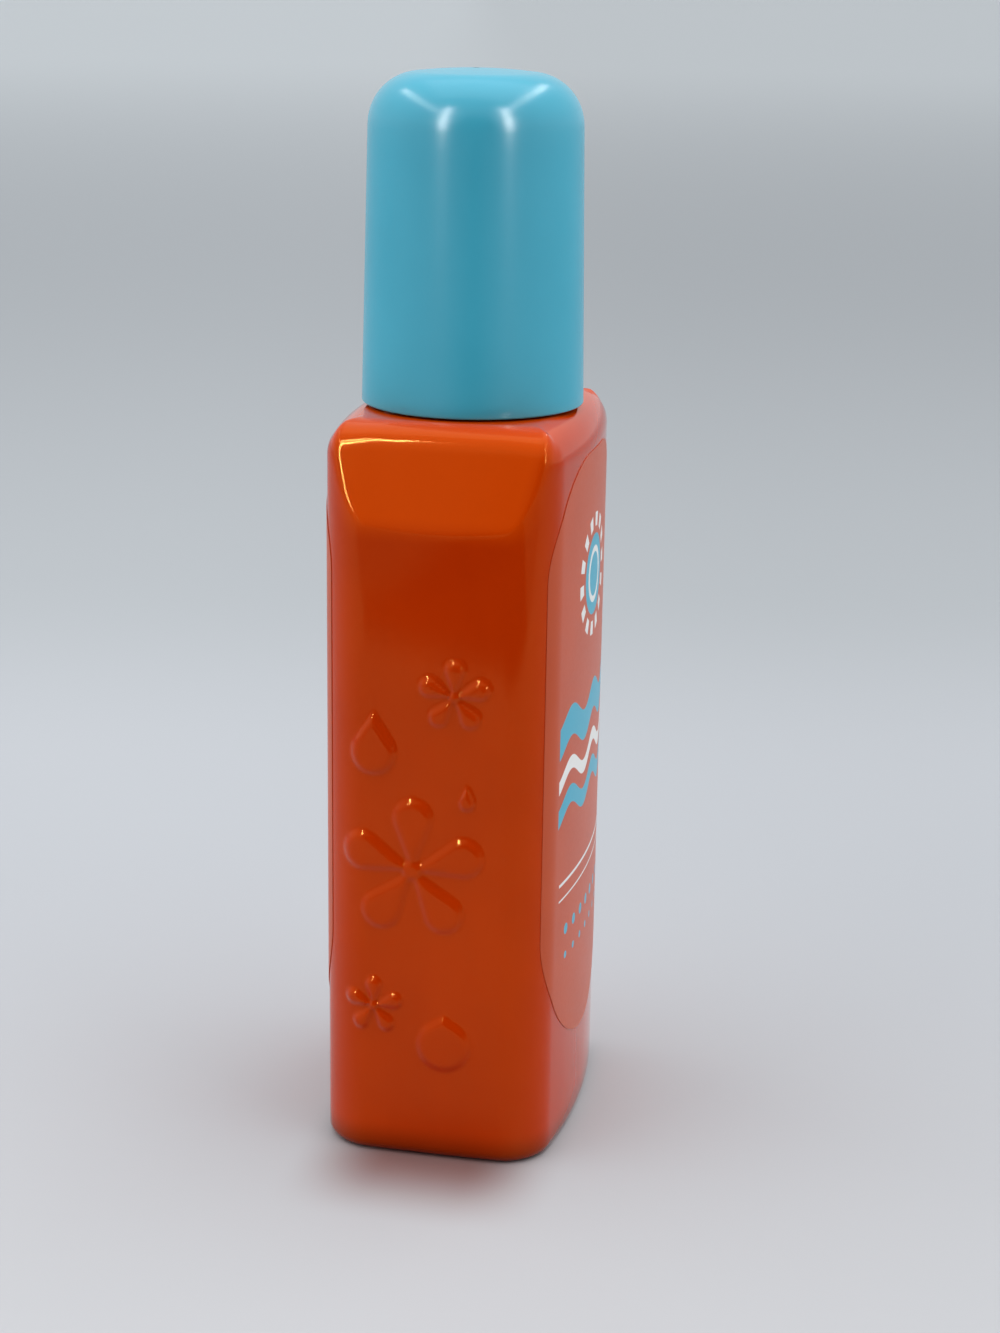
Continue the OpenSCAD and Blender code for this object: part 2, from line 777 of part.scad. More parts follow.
// Pressed-in insert with the spray hole
module nozzle_insert() {
    color(pump_white)
        translate([0, -nozzle_seat_y, nozzle_z])
            rotate([90, 0, 0])
                difference() {
                    cylinder(h = nozzle_l, r = nozzle_r, $fn = round_fn);
                    translate([0, 0, -1])
                        cylinder(h = nozzle_l + 2, r = orifice_r, $fn = round_fn / 4);
                    translate([0, 0, -1])
                        cylinder(h = nozzle_l + 1 - swirl_web, r = channel_r, $fn = round_fn / 2);
                    translate([0, 0, nozzle_l - spray_cone_l])
                        cylinder(h = 2 * spray_cone_l, r1 = 0, r2 = 2 * spray_cone_r, $fn = round_fn);
                }
}

// Half outline of the overcap, drawn in by inset
function cap_outline(inset) =
    let (
        top = cap_h - cap_crown - inset,
        rim = [cap_r - inset, 0],
        corner = [cap_r - cap_draft - inset, top]
    )
    concat(
        [[0, 0], rim],
        rounded(rim, corner, [0, top + cap_crown], cap_edge_r - inset),
        [[0, top + cap_crown]]
    );

// Tall round overcap, a plain shell with ribs inside that grip the collar
module overcap() {
    color(aqua)
        translate([0, 0, cap_z]) {
            difference() {
                rotate_extrude($fn = 2 * round_fn)
                    polygon(cap_outline(0));
                translate([0, 0, -eps])
                    rotate_extrude($fn = 2 * round_fn)
                        polygon(cap_outline(cap_wall));
            }
            for (i = [0:cap_ribs - 1])
                rotate((i + 0.5) * 360 / cap_ribs)
                    translate([collar_r + grip_gap, -cap_rib_t / 2, collar_z - cap_z + rib_lead])
                        cube([cap_r - cap_wall / 2 - collar_r - grip_gap - cap_draft / 2, cap_rib_t, rib_l]);
        }
}

bottle_body();
front_label();
back_label();
neck_gasket();
pump_housing();
stem_guide();
stem_seal();
pump_stem();
piston_seal();
return_spring();
spring_seat();
inlet_ball();
dip_tube();
screw_collar();
actuator_button();
nozzle_insert();
overcap();
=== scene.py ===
import math

import bmesh
import bpy
import numpy as np
from mathutils import Matrix, Vector


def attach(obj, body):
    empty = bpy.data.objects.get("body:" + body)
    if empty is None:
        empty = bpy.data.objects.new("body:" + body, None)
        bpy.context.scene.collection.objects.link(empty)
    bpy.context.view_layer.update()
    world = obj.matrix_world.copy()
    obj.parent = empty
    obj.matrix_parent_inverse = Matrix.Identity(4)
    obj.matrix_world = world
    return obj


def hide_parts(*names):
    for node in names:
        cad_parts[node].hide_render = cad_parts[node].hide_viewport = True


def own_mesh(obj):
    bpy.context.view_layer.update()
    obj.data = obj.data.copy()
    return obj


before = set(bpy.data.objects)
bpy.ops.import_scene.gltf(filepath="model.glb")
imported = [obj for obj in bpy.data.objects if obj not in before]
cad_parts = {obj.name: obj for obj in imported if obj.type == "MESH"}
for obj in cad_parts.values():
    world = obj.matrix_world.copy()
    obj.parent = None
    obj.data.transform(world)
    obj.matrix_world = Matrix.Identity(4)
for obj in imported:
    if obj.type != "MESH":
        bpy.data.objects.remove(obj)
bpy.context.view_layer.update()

bpy.ops.object.select_all(action="DESELECT")

MM = 0.001

# Sizes in millimetres, the same as in the part's source
HALF_W, HALF_D = 25.0, 19.5
FRONT_R, SIDE_R, CORNER_R = 111.0, 289.0, 6.0
SHOULDER_Z, CREASE_Z, SHOULDER_HALF = 115.8, 100.5, 21.2
CREASE_R, SIDE_TOP_R, FRONT_TOP_R = 3.0, 4.6, 5.5
WALL, BASE_EDGE_R, BASE_RING, BASE_RECESS, FLOOR_Z = 1.2, 1.8, 4.5, 1.2, 2.7
NECK_R, NECK_BORE_R, RIM_Z = 10.8, 9.0, 131.4
RING_R, RING_H = 12.2, 0.5
# Rays for the shoulders fan out from this point on the axis
FAN_Z = 95
THREAD_R, THREAD_PITCH, THREAD_TURNS, THREAD_Z = 11.9, 3.175, 1.5, 124.64
RELIEF_H = 0.6
LABEL_HALF, LABEL_LOW, LABEL_TOP, LABEL_R, LABEL_T = 21.8, 15.0, 110.0, 17.0, 0.12
CAP_Z, CAP_TOP, CAP_RIM_R, CAP_TOP_R, CAP_EDGE_R = 116.1, 165.7, 17.0, 16.15, 7.8
CAP_CROWN, CAP_WALL = 0.5, 1.3
RIBS, RIB_MIDDLE_R, RIB_MIDDLE_Z, RIB_SIZE = 8, 14.95, 125.1, (1.9, 0.9, 14)
COLLAR_Z, COLLAR_TOP, COLLAR_R, COLLAR_BORE, COLLAR_HOLE = 117.6, 135.2, 13.9, 12.15, 6.5
COLLAR_THREAD_R, GRIPS, GRIP_DEPTH, FLANGE_TOP = 11.05, 48, 0.35, 134.0
GUIDE_R, GUIDE_LOW, GUIDE_TOP, GUIDE_PLUG_R, GUIDE_BORE = 6.1, 131.0, 137.2, 3.59, 2.04
HEAD_Z, HEAD_TOP, HEAD_R, HEAD_TOP_R, HEAD_EDGE_R, HEAD_INSIDE_R = 140.2, 156.6, 8.9, 8.4, 1.2, 7.3
DISH_R, DISH_DEPTH, SOCKET_R, SOCKET_Z, ROOM_Z, STEM_TOP = 16.0, 1.3, 3.6, 142.2, 145.3, 148.5
NOZZLE_Z, NOZZLE_R, NOZZLE_L, NOZZLE_SEAT_Y, NOZZLE_RECESS_R = 149.5, 2.6, 3.6, 4.2, 3.2
SPRING_Z, SPRING_L, COIL_R, WIRE_R, COIL_TURNS = 109.754, 12.946, 2.7, 0.35, 7


# ---- Helpers for modelling

def active():
    return bpy.context.view_layer.objects.active


def alone(piece):
    """Select one piece only and make it active."""
    bpy.ops.object.select_all(action="DESELECT")
    piece.select_set(True)
    bpy.context.view_layer.objects.active = piece


def joined(pieces):
    """Join separate meshes to the first of them."""
    alone(pieces[0])
    for piece in pieces[1:]:
        piece.select_set(True)
    bpy.ops.object.join()
    return pieces[0]


def tidy_up(piece):
    """Merge doubles and turn all the faces outwards."""
    alone(piece)
    bpy.ops.object.mode_set(mode="EDIT")
    bpy.ops.mesh.select_all(action="SELECT")
    bpy.ops.mesh.remove_doubles(threshold=1e-6)
    bpy.ops.mesh.normals_make_consistent(inside=False)
    bpy.ops.object.mode_set(mode="OBJECT")
    return piece


def smooth(piece, angle=35):
    """Shade a piece smoothly apart from edges sharper than the angle."""
    alone(piece)
    bpy.ops.object.shade_smooth_by_angle(angle=math.radians(angle))
    return piece


def place(piece, name, body, slot, finish, *nodes):
    """Name a finished piece, give it its finish and let it ride on its body."""
    alone(piece)
    bpy.ops.object.transform_apply(location=True, rotation=True, scale=True)
    piece.name = name
    piece.data.name = name
    piece.data.materials.clear()
    piece.data.materials.append(finish)
    if nodes:
        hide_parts(*nodes)
    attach(piece, body)
    return piece


def arc(r, z, radius, start, end, steps):
    """Points of a rounding, as (radius, height), with its angles in degrees from level."""
    angles = [math.radians(start + (end - start) * i / steps) for i in range(steps + 1)]
    return [(r + radius * math.cos(a), z + radius * math.sin(a)) for a in angles]


def turned(profile, steps=96, closed=False):
    """A turned piece: a ring is extruded along (radius, height) points in millimetres."""
    r, z = profile[0]
    bpy.ops.mesh.primitive_circle_add(vertices=steps, radius=r * MM, location=(0, 0, z * MM))
    piece = active()
    bpy.ops.object.transform_apply(location=True)
    bpy.ops.object.mode_set(mode="EDIT")
    bpy.ops.mesh.select_all(action="SELECT")
    for (r0, z0), (r1, z1) in zip(profile, profile[1:]):
        bpy.ops.mesh.extrude_edges_move(TRANSFORM_OT_translate={"value": (0, 0, (z1 - z0) * MM)})
        bpy.ops.transform.resize(value=(r1 / r0, r1 / r0, 1))
    if not closed:
        bpy.ops.mesh.edge_face_add()
        bpy.ops.mesh.select_all(action="DESELECT")
        edit = bmesh.from_edit_mesh(piece.data)
        for edge in edit.edges:
            edge.select = edge.is_boundary
        bmesh.update_edit_mesh(piece.data)
        bpy.ops.mesh.edge_face_add()
    bpy.ops.object.mode_set(mode="OBJECT")
    return tidy_up(piece)


def gridded(across, along, points):
    """A grid of across by along points whose points are moved to the given places in mm."""
    bpy.ops.mesh.primitive_grid_add(x_subdivisions=across - 1, y_subdivisions=along - 1, size=1)
    piece = active()
    piece.data.vertices.foreach_set("co", (points * MM).astype(np.float32).reshape(-1))
    piece.data.update()
    return piece


# ---- The body's surface, as distances in millimetres

def round_max(a, b, cosine, radius):
    """The larger of two distances, rounded where their faces meet at a known angle."""
    u, v = a + radius, b + radius
    square = np.maximum(1 - cosine * cosine, 1e-4)
    near = np.sqrt(np.maximum(u * u + v * v - 2 * cosine * u * v, 0) / square) - radius
    between = (u - cosine * v > 0) & (v - cosine * u > 0)
    return np.where(between, near, np.maximum(a, b))


def plan_gap(x, y):
    """Distance outside the upright walls: two bulging faces each way and round corners."""
    front = np.hypot(x, np.abs(y) - (HALF_D - FRONT_R)) - FRONT_R
    side = np.hypot(np.abs(x) - (HALF_W - SIDE_R), y) - SIDE_R
    inner = np.minimum(np.maximum(front, side), -CORNER_R)
    return inner + np.hypot(np.maximum(front + CORNER_R, 0), np.maximum(side + CORNER_R, 0))


def body_gap(x, y, z):
    """Distance outside the body with its sloping shoulders."""
    rise, run = SHOULDER_Z - CREASE_Z, HALF_W - SHOULDER_HALF
    length = math.hypot(rise, run)
    nx, nz = rise / length, run / length

    def walls(x, y, z):
        wall = plan_gap(x, y)
        slope = (np.abs(x) - HALF_W) * nx + (z - CREASE_Z) * nz
        lean = (plan_gap(x + 1e-3, y) - plan_gap(x - 1e-3, y)) / 2e-3 * np.sign(x + 1e-9)
        return round_max(wall, slope, np.clip(lean * nx, 0, 0.9999), CREASE_R)

    side = walls(x, y, z)
    lean = (walls(x, y, z + 1e-3) - walls(x, y, z - 1e-3)) / 2e-3
    front = np.hypot(x, np.abs(y) - (HALF_D - FRONT_R)) - FRONT_R
    narrow = np.hypot(np.abs(x) - (HALF_W - SIDE_R), y) - SIDE_R
    share = np.clip((front - narrow + 4) / 8, 0, 1)
    top_r = SIDE_TOP_R + (FRONT_TOP_R - SIDE_TOP_R) * share * share * (3 - 2 * share)
    return round_max(side, z - SHOULDER_Z, np.clip(lean, 0, 0.9999), top_r)


def reach(gap, low, high):
    """Distance along rays at which a rising gap becomes zero."""
    low, high = low.copy(), high.copy()
    for _ in range(44):
        middle = (low + high) / 2
        outside = gap(middle) > 0
        high = np.where(outside, middle, high)
        low = np.where(outside, low, middle)
    return (low + high) / 2


def capsule_gap(y, z, foot, tip, foot_r, tip_r):
    """Distance outside a rod whose round ends have different radii."""
    axis = np.array(tip) - np.array(foot)
    length = np.hypot(*axis)
    axis = axis / length
    along = (y - foot[0]) * axis[0] + (z - foot[1]) * axis[1]
    aside = np.abs(-(y - foot[0]) * axis[1] + (z - foot[1]) * axis[0])
    lean = (foot_r - tip_r) / length
    level = math.sqrt(1 - lean * lean)
    k = -lean * aside + level * along
    body = aside * level + along * lean - foot_r
    return np.where(k < 0, np.hypot(aside, along) - foot_r,
                    np.where(k > level * length, np.hypot(aside, along - length) - tip_r, body))


def pillow(gap, height, bevel):
    """Height of a raised shape with a steep foot and a softly crowned top."""
    t = np.clip(-gap / bevel, 0, 1)
    return height * (1 - (1 - t) ** 2.2)


# Flowers as (across, up, reach of a petal) and drops as (across, up, width, reach of the tip)
FLOWERS = [(3.0, 48.0, 11.6), (-3.3, 76.0, 5.7), (9.1, 25.1, 4.8)]
DROPS = [(9.2, 66.4, 7.3, 6.3), (-2.1, 19.4, 8.7, 5.1), (-5.4, 59.5, 2.6, 2.6)]
PETALS, PETAL_WIDTH = 5, 0.56


def relief_height(y, z):
    """Height of the flowers and drops over a narrow face."""
    height = np.zeros_like(y)
    for across, up, length in FLOWERS:
        bevel = 0.5 + 0.09 * length
        tip_r = PETAL_WIDTH * length / 2
        for i in range(PETALS):
            turn = math.radians(90 + 360 * i / PETALS)
            way = np.array([math.cos(turn), math.sin(turn)])
            foot = np.array([across, up]) + way * length * 0.1
            tip = np.array([across, up]) + way * (length - tip_r)
            gap = capsule_gap(y, z, foot, tip, 0.055 * length, tip_r)
            height = np.maximum(height, pillow(gap, RELIEF_H, bevel))
        hub = np.hypot(y - across, z - up) - 0.15 * length
        height = np.maximum(height, pillow(hub, RELIEF_H * 0.95, 0.09 * length))
    for across, up, width, tip in DROPS:
        gap = capsule_gap(y, z, (across, up), (across, up + tip - 0.3), width / 2, 0.3)
        height = np.maximum(height, pillow(gap, RELIEF_H, 0.5 + 0.12 * width))
    return height


# ---- Bottle

def outline_directions():
    """Directions round the body: fine steps on the narrow faces, wider ones elsewhere."""
    angles = np.linspace(0, 2 * math.pi, 20001)[:-1]
    r = reach(lambda d: plan_gap(d * np.cos(angles), d * np.sin(angles)),
              np.full(angles.shape, 5.0), np.full(angles.shape, 40.0))
    x, y = r * np.cos(angles), r * np.sin(angles)
    step = np.hypot(np.roll(x, -1) - x, np.roll(y, -1) - y)
    fine = (np.abs(x) > 20) & (np.abs(y) < 16)
    corner = (np.abs(x) > 17) & ~fine
    share = np.cumsum(step * np.where(fine, 3.0, np.where(corner, 2.0, 0.95)))
    count = 4 * round(share[-1] / 4)
    return np.interp(np.arange(count) / count * share[-1], share - share[0], angles)


def bottle_shape():
    """The bottle's skin as rings of points, from the underside over the outside to the inner floor."""
    angles = outline_directions()
    c, s = np.cos(angles), np.sin(angles)
    near, far = np.full(angles.shape, 4.0), np.full(angles.shape, 45.0)
    rings = []

    def wall_ring(z, inset, relief=False):
        d = reach(lambda t: plan_gap(t * c, t * s) + inset, near, far)
        x, y = d * c, d * s
        if relief:
            x = x + np.sign(x) * relief_height(y, np.full_like(y, z)) * (np.abs(x) > 15)
        rings.append(np.stack([x, y, np.full_like(x, z)], 1))

    def round_ring(r, z):
        rings.append(np.stack([r * c, r * s, np.full_like(c, z)], 1))

    def fan_ring(tilt, inset):
        t = math.radians(tilt)
        d = reach(lambda k: body_gap(k * math.cos(t) * c, k * math.cos(t) * s,
                                     FAN_Z + k * math.sin(t)) + inset, near, far * 1.2)
        flat = d * math.cos(t)
        rings.append(np.stack([flat * c, flat * s, FAN_Z + d * math.sin(t)], 1))

    def scaled_ring(k, z):
        ring = rings[-1].copy()
        ring[:, :2] *= k
        ring[:, 2] = z
        rings.append(ring)

    # Underside: recessed floor, standing ring and base edge
    wall_ring(BASE_RECESS, BASE_RING + 0.9)
    recess = rings.pop()
    for k in (0.0, 0.3, 0.62, 0.88):
        ring = recess.copy()
        ring[:, :2] *= k
        rings.append(ring)
    rings.append(recess)
    wall_ring(BASE_RECESS - 0.12, BASE_RING + 0.4)
    wall_ring(0.7, BASE_RING + 0.1)
    wall_ring(0.3, BASE_RING - 0.05)
    wall_ring(0.08, BASE_RING - 0.3)
    wall_ring(0.0, BASE_RING - 0.7)
    for i in range(9):
        a = math.radians(90 - 90 * i / 8)
        wall_ring(BASE_EDGE_R * (1 - math.sin(a)), BASE_EDGE_R * (1 - math.cos(a)))
    # Walls, with close rings where the relief is
    levels = [3.2, 5.0, 7.0, 9.0, 11.0] + list(np.arange(12.4, 87.0, 0.42)) + [88.5, 90.5, 93.0]
    for z in levels:
        wall_ring(z, 0.0, relief=True)
    # Shoulders
    for tilt in np.linspace(0, 59, 64):
        fan_ring(tilt, 0)
    # Low ring, neck, rim and bore
    top = SHOULDER_Z
    for r, z in [(RING_R + 0.12, top), (RING_R, top + 0.1), (RING_R - 0.02, top + RING_H - 0.15),
                 (RING_R - 0.17, top + RING_H), (NECK_R + 0.45, top + RING_H),
                 (NECK_R + 0.12, top + RING_H + 0.14), (NECK_R, top + RING_H + 0.5)]:
        round_ring(r, z)
    for r, z in [(NECK_R, 120.0), (NECK_R, 125.0), (NECK_R, RIM_Z - 0.45),
                 (NECK_R - 0.13, RIM_Z - 0.13), (NECK_R - 0.45, RIM_Z), (NECK_BORE_R + 0.3, RIM_Z),
                 (NECK_BORE_R + 0.09, RIM_Z - 0.09), (NECK_BORE_R, RIM_Z - 0.3),
                 (NECK_BORE_R, 122.0), (NECK_BORE_R, SHOULDER_Z - WALL + 0.5),
                 (NECK_BORE_R + 0.5, SHOULDER_Z - WALL)]:
        round_ring(r, z)
    # Inside, one wall thickness in from the outside
    for tilt in (56, 51, 46, 41, 36, 30, 24, 16, 8, 0):
        fan_ring(tilt, WALL)
    for z in (70.0, 45.0, 20.0, FLOOR_Z + 1.2):
        wall_ring(z, WALL)
    wall_ring(FLOOR_Z + 0.3, WALL + 0.35)
    wall_ring(FLOOR_Z, WALL + 1.3)
    scaled_ring(0.6, FLOOR_Z)
    scaled_ring(0.0, FLOOR_Z)

    rings = [np.vstack([ring, ring[:1]]) for ring in rings]
    piece = gridded(len(angles) + 1, len(rings), np.concatenate(rings))
    return tidy_up(piece)


def swept(sections):
    """A closed tube through the given sections, each a ring of points in millimetres."""
    rings = np.array([section + section[:1] for section in sections])
    piece = gridded(rings.shape[1], rings.shape[0], rings.reshape(-1, 3))
    alone(piece)
    bpy.ops.object.mode_set(mode="EDIT")
    bpy.ops.mesh.select_all(action="SELECT")
    bpy.ops.mesh.remove_doubles(threshold=1e-6)
    bpy.ops.mesh.fill_holes(sides=0)
    bpy.ops.object.mode_set(mode="OBJECT")
    return tidy_up(piece)


def helix_ridge(base_r, tip_r, half_base, half_tip, z, turns):
    """A thread's ridge swept round the neck or the collar, fading out at both ends."""
    count = int(turns * 48)
    sections = []
    for i in range(count + 1):
        a = 2 * math.pi * i / 48
        fade = min(1, (i + 1) / 7, (count - i + 1) / 7)
        tip = base_r + (tip_r - base_r) * fade
        mid = z + THREAD_PITCH * i / 48
        edge = 0.12 * (1 if tip_r > base_r else -1)
        outline = [(base_r, -half_base), (tip - edge, -half_tip - 0.12), (tip, -half_tip + 0.05),
                   (tip, half_tip - 0.05), (tip - edge, half_tip + 0.12), (base_r, half_base)]
        sections.append([(r * math.cos(a), r * math.sin(a), mid + dz * fade) for r, dz in outline])
    return swept(sections)


# ---- Labels

def label_film(side):
    """Film that follows the wide face and wraps onto the corners; side is -1 or 1 along Y."""
    columns, rows = 101, 121
    turn = np.linspace(0, math.pi, rows)
    levels = LABEL_LOW + (LABEL_TOP - LABEL_LOW) * (1 - np.cos(turn)) / 2
    points = []
    for z in levels:
        # Full round below, round corners above
        radius, end = (LABEL_HALF, z - LABEL_LOW) if z < 60 else (LABEL_R, LABEL_TOP - z)
        inset = radius - math.sqrt(max(radius ** 2 - max(radius - end, 0) ** 2, 0))
        x = np.linspace(-1, 1, columns) * max(LABEL_HALF - inset, 0.02)
        d = reach(lambda t: plan_gap(x, t) - LABEL_T, np.full(x.shape, 3.0), np.full(x.shape, 40.0))
        points.append(np.stack([x, side * d, np.full_like(x, z)], 1))
    piece = gridded(columns, rows, np.concatenate(points))
    alone(piece)
    bpy.ops.object.mode_set(mode="EDIT")
    bpy.ops.mesh.select_all(action="SELECT")
    bpy.ops.mesh.normals_make_consistent(inside=False)
    edit = bmesh.from_edit_mesh(piece.data)
    edit.faces.ensure_lookup_table()
    if edit.faces[len(edit.faces) // 2].normal.y * side < 0:
        bpy.ops.mesh.flip_normals()
    bpy.ops.object.mode_set(mode="OBJECT")
    film = piece.modifiers.new("Film", "SOLIDIFY")
    film.thickness = (LABEL_T - 0.01) * MM
    film.offset = -1
    bpy.ops.object.modifier_apply(modifier="Film")
    return smooth(piece, 50)


# ---- Cap

def cap_shape():
    """Tall cap with a slight draft, a rounded top and an even wall."""
    height = CAP_TOP - CAP_Z
    taper = (CAP_RIM_R - CAP_TOP_R) / (height - CAP_EDGE_R)
    lean = math.degrees(math.atan(taper))
    outer = arc(CAP_RIM_R - 0.35, CAP_Z + 0.35, 0.35, -90, -lean, 4)
    edge_z = CAP_TOP - CAP_CROWN - CAP_EDGE_R
    outer += [(CAP_RIM_R - taper * (z - CAP_Z), z) for z in np.linspace(CAP_Z + 2, edge_z, 14)]
    corner_r = CAP_TOP_R - CAP_EDGE_R
    outer += arc(corner_r, edge_z, CAP_EDGE_R, lean, 87, 22)
    top_r = outer[-1][0]
    top_z = outer[-1][1]
    outer += [(top_r * k, top_z + (CAP_TOP - top_z) * (1 - k * k)) for k in (0.8, 0.6, 0.4, 0.2, 0.05)]
    inner = [(top_r * k, CAP_TOP - CAP_WALL - 0.2) for k in (0.05, 0.5, 0.9)]
    inner += arc(corner_r, edge_z, CAP_EDGE_R - CAP_WALL, 85, 0, 12)
    inner += [(CAP_TOP_R - CAP_WALL + taper * (edge_z - z), z)
              for z in np.linspace(edge_z, CAP_Z + 0.35, 8)[1:]]
    inner += [(CAP_RIM_R - CAP_WALL + 0.1, CAP_Z + 0.1), (CAP_RIM_R - CAP_WALL + 0.35, CAP_Z)]
    cap = turned(outer, 160, closed=True)
    lining = turned(inner, 160, closed=True)
    shell = joined([cap, lining])
    alone(shell)
    bpy.ops.object.mode_set(mode="EDIT")
    # The outer and inner crowns are closed, then the rim joins the two walls
    edit = bmesh.from_edit_mesh(shell.data)
    for z_low, z_high in ((CAP_TOP - 0.6, CAP_TOP + 1), (CAP_TOP - CAP_WALL - 0.3, CAP_TOP - CAP_WALL)):
        bpy.ops.mesh.select_all(action="DESELECT")
        for edge in edit.edges:
            high = max(v.co.z for v in edge.verts) / MM
            wide = max(v.co.xy.length for v in edge.verts) / MM
            edge.select = edge.is_boundary and wide < 3 and z_low < high < z_high
        bmesh.update_edit_mesh(shell.data)
        bpy.ops.mesh.merge(type="CENTER")
        edit = bmesh.from_edit_mesh(shell.data)
    bpy.ops.mesh.select_all(action="DESELECT")
    for edge in edit.edges:
        edge.select = edge.is_boundary
    bmesh.update_edit_mesh(shell.data)
    bpy.ops.mesh.bridge_edge_loops()
    bpy.ops.object.mode_set(mode="OBJECT")
    return tidy_up(shell)


def cap_rib(turn):
    """One of the ribs inside the cap that grip the collar."""
    bpy.ops.mesh.primitive_cube_add(size=1, location=(RIB_MIDDLE_R * MM, 0, RIB_MIDDLE_Z * MM))
    rib = active()
    rib.scale = [side * MM for side in RIB_SIZE]
    bpy.ops.object.transform_apply(location=True, rotation=True, scale=True)
    bevel = rib.modifiers.new("Edges", "BEVEL")
    bevel.width = 0.2 * MM
    bevel.segments = 2
    bpy.ops.object.modifier_apply(modifier="Edges")
    rib.data.transform(Matrix.Rotation(turn, 4, "Z"))
    return rib


# ---- Pump

def collar_shape():
    """Threaded collar with fine upright grip grooves round its wall."""
    outline = [(COLLAR_BORE, 118.1), (COLLAR_BORE + 0.45, COLLAR_Z), (COLLAR_R - 0.3, COLLAR_Z),
               (COLLAR_R, COLLAR_Z + 0.3), (COLLAR_R, 119.0), (COLLAR_R, 119.4), (COLLAR_R, 133.0),
               (COLLAR_R, 133.4)]
    outline += arc(COLLAR_R - 1.1, COLLAR_TOP - 1.1, 1.1, 0, 90, 7)
    outline += [(COLLAR_HOLE + 0.3, COLLAR_TOP), (COLLAR_HOLE + 0.09, COLLAR_TOP - 0.09),
                (COLLAR_HOLE, COLLAR_TOP - 0.3), (COLLAR_HOLE, FLANGE_TOP),
                (COLLAR_BORE, FLANGE_TOP), (COLLAR_BORE, 118.1)]
    collar = turned(outline, GRIPS * 6, closed=True)
    # Grip grooves press the wall in between the plain bands
    for vertex in collar.data.vertices:
        x, y, z = vertex.co
        if 119.2 * MM < z < 133.2 * MM and math.hypot(x, y) > (COLLAR_R - 0.1) * MM:
            depth = max(math.cos(GRIPS * math.atan2(y, x)), 0) * GRIP_DEPTH
            vertex.co.xy *= 1 - depth / COLLAR_R
    ridge = helix_ridge(COLLAR_BORE + 0.3, COLLAR_THREAD_R, 0.75, 0.3, THREAD_Z - THREAD_PITCH / 2,
                        THREAD_TURNS)
    return joined([collar, ridge])


def guide_shape():
    """Plug in the top of the chamber, with a bore for the stem."""
    start = (GUIDE_BORE, GUIDE_LOW + 0.3)
    outline = [start, (GUIDE_BORE + 0.3, GUIDE_LOW), (GUIDE_PLUG_R - 0.3, GUIDE_LOW),
               (GUIDE_PLUG_R, GUIDE_LOW + 0.3), (GUIDE_PLUG_R, FLANGE_TOP), (GUIDE_R, FLANGE_TOP)]
    outline += arc(GUIDE_R - 0.6, GUIDE_TOP - 0.6, 0.6, 0, 90, 6)
    outline += [(GUIDE_BORE + 0.5, GUIDE_TOP), (GUIDE_BORE, GUIDE_TOP - 0.5), start]
    return turned(outline, 96, closed=True)


def head_shape():
    """Finger head: a skirt with a dished top, a socket for the stem and a seat for the nozzle."""
    draft = (HEAD_R - HEAD_TOP_R) / (HEAD_TOP - HEAD_Z)
    lean = math.degrees(math.atan(draft))
    outline = [(0.3, STEM_TOP), (2.01, STEM_TOP), (2.01, SOCKET_Z + 0.3), (2.3, SOCKET_Z),
               (SOCKET_R - 0.25, SOCKET_Z), (SOCKET_R, SOCKET_Z + 0.25), (SOCKET_R, ROOM_Z),
               (HEAD_INSIDE_R, ROOM_Z), (HEAD_INSIDE_R, HEAD_Z + 0.3), (HEAD_INSIDE_R + 0.3, HEAD_Z)]
    outline += arc(HEAD_R - 0.35, HEAD_Z + 0.35, 0.35, -90, 0, 4)
    outline += [(HEAD_R - draft * (z - HEAD_Z), z)
                for z in np.linspace(142, HEAD_TOP - HEAD_EDGE_R - 0.2, 9)]
    outline += arc(HEAD_TOP_R - HEAD_EDGE_R, HEAD_TOP - HEAD_EDGE_R, HEAD_EDGE_R, lean, 90, 9)
    rim = math.sqrt(DISH_R ** 2 - (DISH_R - DISH_DEPTH) ** 2)
    outline += [(rim + 0.35, HEAD_TOP), (rim + 0.1, HEAD_TOP - 0.02)]
    for k in (0.96, 0.9, 0.8, 0.66, 0.5, 0.33, 0.16):
        r = rim * k
        outline.append((r, HEAD_TOP - DISH_DEPTH + DISH_R - math.sqrt(DISH_R ** 2 - r * r)))
    outline.append((0.3, HEAD_TOP - DISH_DEPTH))
    head = turned(outline, 120)
    # The nozzle's seat and its softly flared recess are cut in from the front
    seat = turned([(1.0, -2.0), (1.0, NOZZLE_SEAT_Y), (NOZZLE_R + 0.01, NOZZLE_SEAT_Y),
                   (NOZZLE_R + 0.01, NOZZLE_SEAT_Y + NOZZLE_L),
                   (NOZZLE_RECESS_R, NOZZLE_SEAT_Y + NOZZLE_L), (NOZZLE_RECESS_R, 8.05),
                   (NOZZLE_RECESS_R + 0.18, 8.3), (NOZZLE_RECESS_R + 0.9, 9.6)], 72)
    return cut(head, to_front(seat))


def cut(piece, tool):
    """Take the tool's volume away from a piece."""
    alone(piece)
    carve = piece.modifiers.new("Carve", "BOOLEAN")
    carve.operation = "DIFFERENCE"
    carve.solver = "EXACT"
    carve.object = tool
    bpy.ops.object.modifier_apply(modifier="Carve")
    bpy.data.objects.remove(tool)
    return piece


def to_front(piece):
    """Turn a piece made round Z so that it points along -Y at the nozzle's height."""
    alone(piece)
    piece.rotation_euler = (math.radians(90), 0, 0)
    piece.location = (0, 0, NOZZLE_Z * MM)
    bpy.ops.object.transform_apply(location=True, rotation=True)
    return piece


